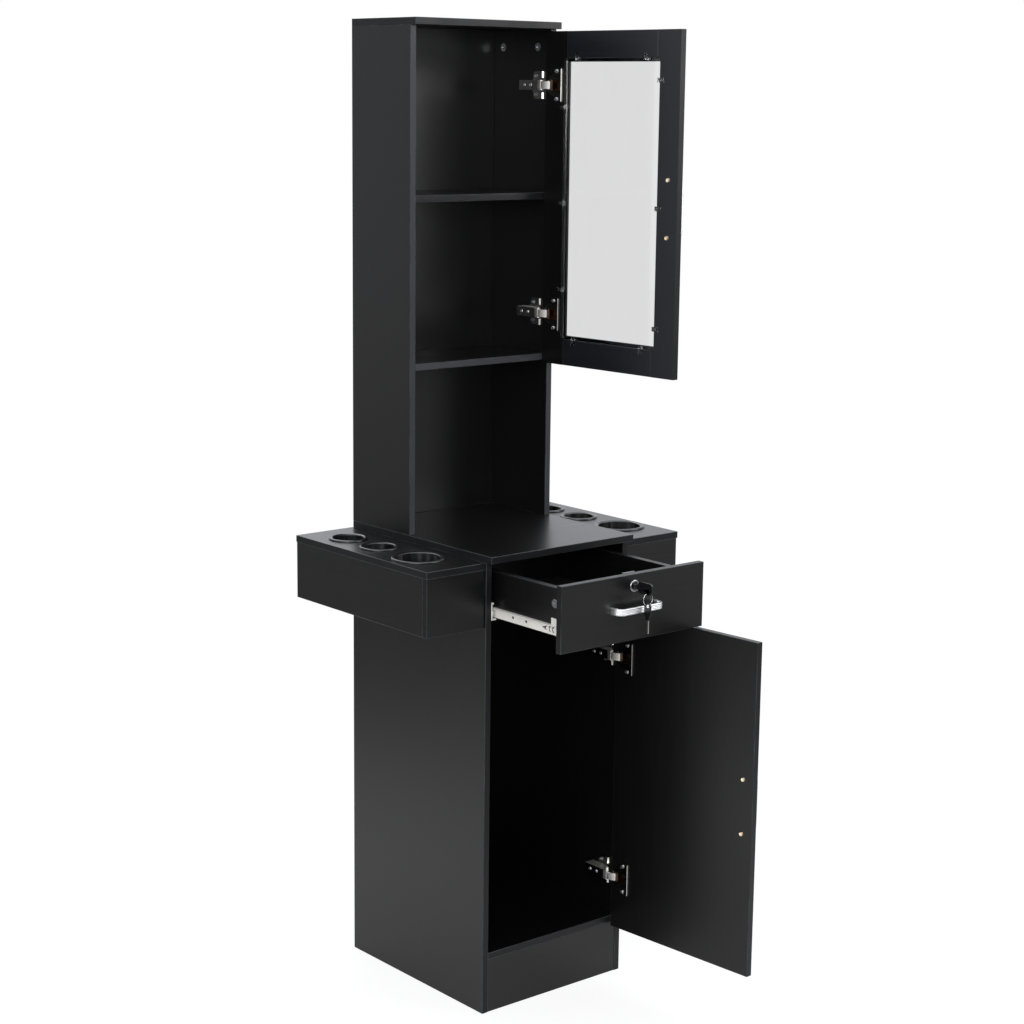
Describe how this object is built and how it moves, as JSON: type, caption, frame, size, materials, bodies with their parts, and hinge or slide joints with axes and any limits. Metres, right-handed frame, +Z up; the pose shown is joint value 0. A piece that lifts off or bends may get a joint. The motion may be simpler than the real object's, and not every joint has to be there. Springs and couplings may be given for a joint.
{
  "type": "salon_storage_cabinet",
  "caption": "Tall black salon cabinet: glazed hutch door, open niche, lockable drawer, lower door and two side wings with cup holders",
  "frame": {"origin": "bottom centre of the bounding box with the drawer and both doors open as at rest", "axes": "+Z up, the front with its doors and drawer looks along -Y, +X to the right seen from the front"},
  "size_m": [0.566, 0.702, 1.69],
  "materials": {
    "black_laminate": "satin black laminate with a fine grain",
    "inner_board": "matt black",
    "black_plastic": "glossy black",
    "nickel": "nickel-plated pressed steel",
    "bright_zinc": "zinc-plated steel",
    "cream_paint": "cream powder coat",
    "white_plastic": "smooth white",
    "handle_aluminium": "brushed, with fine grooves",
    "brass_yellow": "yellow passivated",
    "clear_glass": "clear with a slight grey tint"
  },
  "bodies": {
    "cabinet": {"left_side_panel": "black_laminate", "right_side_panel": "black_laminate", "lower_back_panel": "black_laminate", "bottom_panel": "black_laminate", "kick_plate": "black_laminate", "counter_panel": "black_laminate", "hutch_left_panel": "black_laminate", "hutch_right_panel": "black_laminate", "hutch_top_panel": "black_laminate", "hutch_back_panel": "black_laminate", "upper_shelf": "black_laminate", "lower_shelf": "black_laminate", "left_wing_top": "black_laminate", "left_wing_side": "black_laminate", "left_wing_front": "black_laminate", "left_wing_back": "black_laminate", "left_wing_bottom": "black_laminate", "right_wing_top": "black_laminate", "right_wing_side": "black_laminate", "right_wing_front": "black_laminate", "right_wing_back": "black_laminate", "right_wing_bottom": "black_laminate", "small_cup_holders": "black_plastic", "large_cup_holders": "black_plastic", "cam_discs": "bright_zinc", "cabinet_rails": "cream_paint", "hinge_plates": "nickel", "hinge_arms": "nickel", "cabinet_screws": "bright_zinc"},
    "front_rollers": {"cabinet_rollers": "white_plastic"},
    "drawer": {"drawer_front": "black_laminate", "drawer_left_side": "black_laminate", "drawer_right_side": "black_laminate", "drawer_back": "black_laminate", "drawer_bottom": "inner_board", "drawer_rails": "cream_paint", "drawer_handle": "handle_aluminium", "drawer_screws": "brass_yellow", "lock_case": "nickel"},
    "rear_rollers": {"drawer_rollers": "white_plastic"},
    "bolt": {"lock_bolt": "bright_zinc"},
    "plug": {"lock_plug": "nickel", "key": "black_plastic"},
    "ring": {"key_ring": "bright_zinc"},
    "spare": {"spare_key": "black_plastic"},
    "upper_links": {"upper_hinge_links": "nickel"},
    "upper_door": {"upper_hinge_stile": "black_laminate", "upper_free_stile": "black_laminate", "upper_top_rail": "black_laminate", "upper_bottom_rail": "black_laminate", "upper_pane": "clear_glass", "pane_clips": "black_plastic", "upper_handle": "handle_aluminium", "upper_hinge_cups": "nickel", "upper_door_screws": "bright_zinc"},
    "lower_links": {"lower_hinge_links": "nickel"},
    "lower_door": {"lower_door_panel": "black_laminate", "lower_handle": "handle_aluminium", "lower_hinge_cups": "nickel", "lower_door_screws": "bright_zinc"}
  },
  "joints": [
    {"name": "drawer_slide", "type": "slide", "parent": "cabinet", "child": "drawer", "axis": [0, -1, 0], "range_m": [-0.176, 0.1]},
    {"name": "front_roller_turn", "type": "hinge", "parent": "cabinet", "child": "front_rollers", "pos_m": [0, -0.01697, 0.7107], "axis": [1, 0, 0], "range_deg": [-1265, 720]},
    {"name": "rear_roller_turn", "type": "hinge", "parent": "drawer", "child": "rear_rollers", "pos_m": [0, 0.11303, 0.7093], "axis": [1, 0, 0], "range_deg": [-1265, 720]},
    {"name": "lock_turn", "type": "hinge", "parent": "drawer", "child": "plug", "pos_m": [0, -0.21897, 0.7745], "axis": [0, -1, 0], "range_deg": [0, 90]},
    {"name": "bolt_lift", "type": "slide", "parent": "drawer", "child": "bolt", "axis": [0, 0, 1], "range_m": [0, 0.00801]},
    {"name": "ring_swing", "type": "hinge", "parent": "plug", "child": "ring", "pos_m": [0, -0.25197, 0.768], "axis": [0, 1, 0], "range_deg": [-20, 20]},
    {"name": "spare_key_swing", "type": "hinge", "parent": "ring", "child": "spare", "pos_m": [0, -0.25197, 0.758], "axis": [0, 1, 0], "range_deg": [-30, 75]},
    {"name": "upper_link_turn", "type": "hinge", "parent": "cabinet", "child": "upper_links", "pos_m": [0.128, 0.18453, 1.1845], "axis": [0, 0, 1], "range_deg": [-2.3, 46.8]},
    {"name": "upper_door_swing", "type": "hinge", "parent": "upper_links", "child": "upper_door", "pos_m": [0.13628, 0.16624, 1.1845], "axis": [0, 0, 1], "range_deg": [-140.25, 6.75]},
    {"name": "lower_link_turn", "type": "hinge", "parent": "cabinet", "child": "lower_links", "pos_m": [0.128, -0.02747, 0.182], "axis": [0, 0, 1], "range_deg": [-2.15, 47.45]},
    {"name": "lower_door_swing", "type": "hinge", "parent": "lower_links", "child": "lower_door", "pos_m": [0.13608, -0.04585, 0.182], "axis": [0, 0, 1], "range_deg": [-142.2, 6.3]}
  ],
  "couplings": [
    {"joint": "front_roller_turn", "follows": "drawer_slide", "rad_per_m": 125},
    {"joint": "rear_roller_turn", "follows": "drawer_slide", "rad_per_m": 125},
    {"joint": "bolt_lift", "follows": "lock_turn", "m_per_rad": 0.005093},
    {"joint": "upper_link_turn", "follows": "upper_door_swing", "ratio": -0.33333},
    {"joint": "lower_link_turn", "follows": "lower_door_swing", "ratio": -0.33333}
  ]
}
